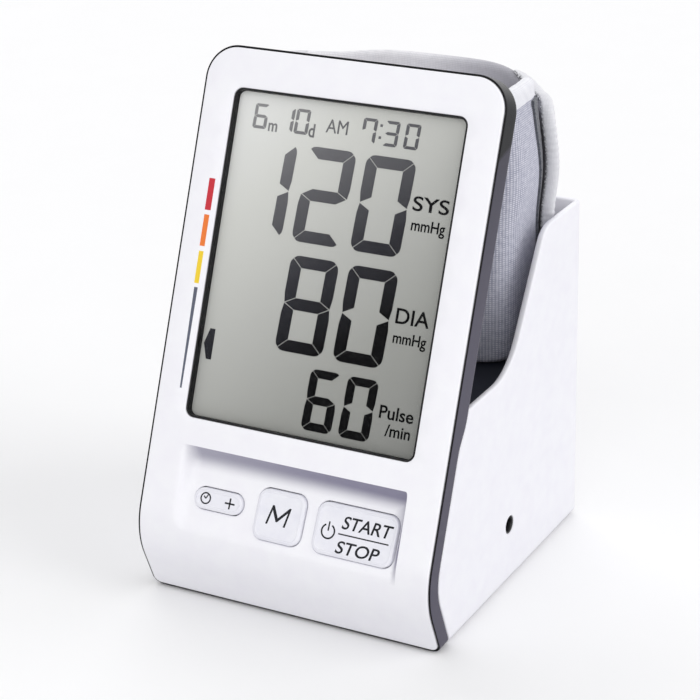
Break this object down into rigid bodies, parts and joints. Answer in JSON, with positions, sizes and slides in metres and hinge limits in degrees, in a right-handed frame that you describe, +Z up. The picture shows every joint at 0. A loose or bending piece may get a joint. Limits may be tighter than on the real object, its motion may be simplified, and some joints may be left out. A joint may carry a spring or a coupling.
{
  "type": "blood pressure monitor",
  "caption": "Desktop blood pressure monitor with a leaning display, push buttons, a bay behind for the rolled arm cuff, and an underside battery door.",
  "frame": {"origin": "on the table under the middle of the part: half way across its width and half way between its front-most line and its back wall", "axes": "+X to the right as the user faces the display, +Y to the back, +Z up"},
  "size_m": [0.13, 0.1418, 0.2112],
  "materials": {
    "gloss_white": "polished moulded front",
    "satin_white": "moulded, semi-gloss",
    "frame_dark": "dark purple-grey gloss",
    "rear_dark": "fine moulded texture",
    "bezel_black": "black lining",
    "bay_dark": "dark navy, fine texture",
    "lens_clear": "clear acrylic",
    "lcd_grey": "reflective display glass",
    "board_green": "circuit board lacquer",
    "switch_dark": "moulded black",
    "button_white": "smooth keypad with dark printing",
    "foot_rubber": "soft grip",
    "steel": "plated",
    "cell_sleeve": "printed sleeve, plain",
    "motor_can": "plated can",
    "pump_black": "moulded black",
    "hose_silicone": "milky silicone",
    "socket_black": "moulded black",
    "cuff_fabric": "ribbed blue-grey nylon",
    "bladder_rubber": "smooth",
    "hook_grey": "fuzzy hook and loop tape",
    "binding_white": "satin edge tape with stitching"
  },
  "bodies": {
    "housing": {"display_frame": "frame_dark", "front_cover": "gloss_white", "lcd_bezel": "bezel_black", "window_lens": "lens_clear", "lcd_panel": "lcd_grey", "main_board": "board_green", "display_rear_cover": "rear_dark", "body_shell": "satin_white", "bay_floor": "bay_dark", "base_cover": "satin_white", "aa_cell_1": "cell_sleeve", "aa_cell_2": "cell_sleeve", "aa_cell_3": "cell_sleeve", "aa_cell_4": "cell_sleeve", "battery_contact_left": "steel", "battery_contact_right": "steel", "rubber_foot_1": "foot_rubber", "rubber_foot_2": "foot_rubber", "rubber_foot_3": "foot_rubber", "rubber_foot_4": "foot_rubber", "base_screw_1": "steel", "base_screw_2": "steel", "base_screw_3": "steel", "base_screw_4": "steel", "button_board": "board_green", "start_switch": "switch_dark", "memory_switch": "switch_dark", "set_switch": "switch_dark", "plus_switch": "switch_dark", "pressure_sensor": "switch_dark", "buzzer": "socket_black", "pump_motor": "motor_can", "pump_head": "pump_black", "release_valve": "motor_can", "air_line": "hose_silicone", "dc_socket": "socket_black", "air_socket": "socket_black"},
    "start_stop_key": {"start_stop_button": "button_white"},
    "memory_key": {"memory_button": "button_white"},
    "set_plus_key": {"set_plus_rocker": "button_white"},
    "battery_hatch": {"battery_door": "satin_white"},
    "cuff": {"cuff_sleeve": "cuff_fabric", "cuff_bladder": "bladder_rubber", "cuff_hook_patch": "hook_grey", "cuff_edge_binding": "binding_white"}
  },
  "joints": [
    {"name": "start_stop_press", "type": "slide", "parent": "housing", "child": "start_stop_key", "axis": [0, 0.9253, -0.3793], "range_m": [0, 0.0006], "stiffness_N_per_m": 800, "springref_m": -0.0006},
    {"name": "memory_press", "type": "slide", "parent": "housing", "child": "memory_key", "axis": [0, 0.9253, -0.3793], "range_m": [0, 0.0006], "stiffness_N_per_m": 800, "springref_m": -0.0006},
    {"name": "set_plus_rock", "type": "hinge", "parent": "housing", "child": "set_plus_key", "pos_m": [-0.0303, -0.06124, 0.04501], "axis": [0, 0.3793, 0.9253], "range_deg": [-4, 4], "stiffness_Nm_per_rad": 0.05},
    {"name": "battery_door_hinge", "type": "hinge", "parent": "housing", "child": "battery_hatch", "pos_m": [0, -0.0146, 0.001], "axis": [-1, 0, 0], "range_deg": [0, 90]},
    {"name": "cuff_lift", "type": "slide", "parent": "housing", "child": "cuff", "axis": [0, 0, 1], "range_m": [0, 0.125]}
  ]
}
